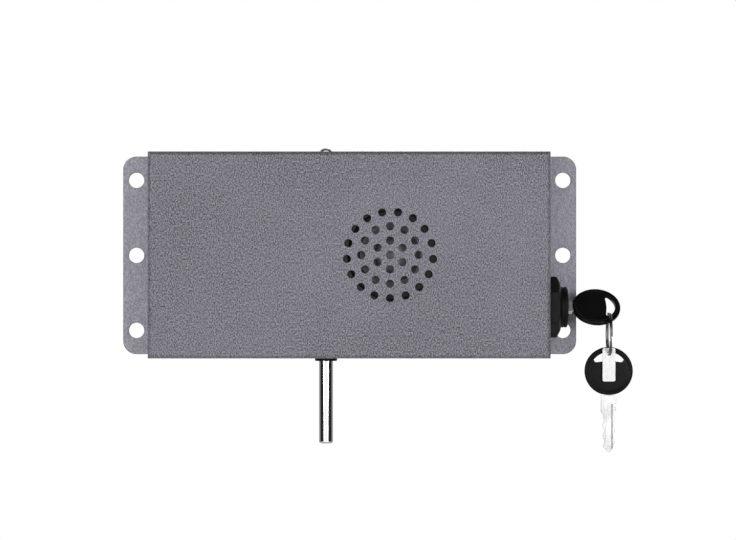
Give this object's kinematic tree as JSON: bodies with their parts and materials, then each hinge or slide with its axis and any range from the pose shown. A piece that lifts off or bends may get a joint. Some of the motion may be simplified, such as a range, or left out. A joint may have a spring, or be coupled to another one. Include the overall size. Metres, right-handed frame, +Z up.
{
  "type": "alarm bolt lock",
  "caption": "Flat wall-mounted steel lock box with a siren grille, a round sliding bolt pointing down, side key switch and keys on a ring.",
  "frame": {"origin": "Centre of the base plate's back face, which rests on the wall.", "axes": "+X runs along the long side towards the key switch, +Y points into the wall, +Z is up and the bolt points down."},
  "size_m": [0.2759, 0.04, 0.1635],
  "materials": {
    "housing_paint": "orange-peel textured grey paint",
    "plate_paint": "fine textured grey paint",
    "polished_steel": "polished",
    "zinc_steel": "zinc plated",
    "cast_zinc": "as cast",
    "black_plastic": "satin",
    "black_metal": "black coated",
    "black_rubber": "matt",
    "brass": "machined",
    "ferrite": "dull grey",
    "cone_film": "pressed film",
    "key_plastic": "satin moulded",
    "key_steel": "nickel plated",
    "ring_steel": "nickel plated spring wire",
    "tag_metal": "bright satin",
    "cell_wrap": "shrink wrap",
    "circuit_board": "solder mask",
    "blue_plastic": "moulded",
    "nylon": "moulded",
    "lead_sheath": "flexible sheath"
  },
  "bodies": {
    "housing": {"front_cover": "housing_paint", "base_plate": "plate_paint", "base_screw_1": "zinc_steel", "base_screw_2": "zinc_steel", "base_screw_3": "zinc_steel", "base_screw_4": "zinc_steel", "guide_rail": "black_plastic", "rail_screw_1": "zinc_steel", "rail_screw_2": "zinc_steel", "bolt_bush": "black_plastic", "bush_nut": "zinc_steel", "stop_buffer": "black_rubber", "top_screw": "zinc_steel", "gearbox": "brass", "motor_can": "zinc_steel", "motor_bracket": "zinc_steel", "bracket_screw_1": "zinc_steel", "bracket_screw_2": "zinc_steel", "siren_gasket": "black_rubber", "siren_basket": "black_metal", "siren_magnet": "ferrite", "siren_surround": "black_rubber", "siren_nut_1": "zinc_steel", "siren_nut_2": "zinc_steel", "siren_nut_3": "zinc_steel", "lock_nut": "black_plastic", "lock_barrel": "black_plastic", "switch_module": "black_plastic", "battery_tray": "black_plastic", "tray_screw_1": "zinc_steel", "tray_screw_2": "zinc_steel", "battery_cell_1": "cell_wrap", "battery_cell_2": "cell_wrap", "battery_cell_3": "cell_wrap", "control_board": "circuit_board", "board_post_1": "nylon", "board_post_2": "nylon", "board_post_3": "nylon", "board_post_4": "nylon", "relay": "blue_plastic", "control_chip": "black_plastic", "terminal_block": "blue_plastic", "battery_lead": "lead_sheath", "motor_lead": "lead_sheath", "siren_lead": "lead_sheath", "switch_lead": "lead_sheath"},
    "bolt": {"bolt_rod": "polished_steel", "rack_carriage": "cast_zinc", "carriage_pin": "zinc_steel"},
    "pinion": {"drive_pinion": "brass", "motor_shaft": "zinc_steel"},
    "cone": {"siren_cone": "cone_film"},
    "plug": {"lock_plug": "black_metal", "lock_cam": "zinc_steel"},
    "key": {"key_head": "key_plastic", "key_blade": "key_steel"},
    "ring": {"key_ring": "ring_steel"},
    "tag": {"number_tag": "tag_metal"},
    "spare_key": {"spare_key_head": "key_plastic", "spare_key_blade": "key_steel"}
  },
  "joints": [
    {"name": "bolt_slide", "type": "slide", "parent": "housing", "child": "bolt", "axis": [0, 0, 1], "range_m": [0, 0.042]},
    {"name": "pinion_turn", "type": "hinge", "parent": "housing", "child": "pinion", "pos_m": [-0.0286, -0.0315, 0], "axis": [0, 1, 0], "range_deg": [-301, 0]},
    {"name": "cone_travel", "type": "slide", "parent": "housing", "child": "cone", "axis": [0, 1, 0], "range_m": [-0.0004, 0.0004], "stiffness_N_per_m": 200},
    {"name": "key_turn", "type": "hinge", "parent": "housing", "child": "plug", "pos_m": [0.117, -0.02, -0.028], "axis": [1, 0, 0], "range_deg": [0, 45]},
    {"name": "key_pull", "type": "slide", "parent": "plug", "child": "key", "axis": [1, 0, 0], "range_m": [0, 0.035]},
    {"name": "ring_hang", "type": "hinge", "parent": "key", "child": "ring", "pos_m": [0.1394, -0.0252, -0.03135], "axis": [1, 0, 0], "range_deg": [-45, 0]},
    {"name": "tag_swing", "type": "hinge", "parent": "ring", "child": "tag", "pos_m": [0.1394, -0.02805, -0.05297], "axis": [0, 1, 0], "range_deg": [-25, 25]},
    {"name": "spare_key_swing", "type": "hinge", "parent": "ring", "child": "spare_key", "pos_m": [0.1394, -0.0252, -0.05335], "axis": [0, 1, 0], "range_deg": [-30, 30]}
  ],
  "couplings": [
    {"joint": "pinion_turn", "follows": "bolt_slide", "rad_per_m": -125},
    {"joint": "ring_hang", "follows": "key_turn", "ratio": -1}
  ]
}
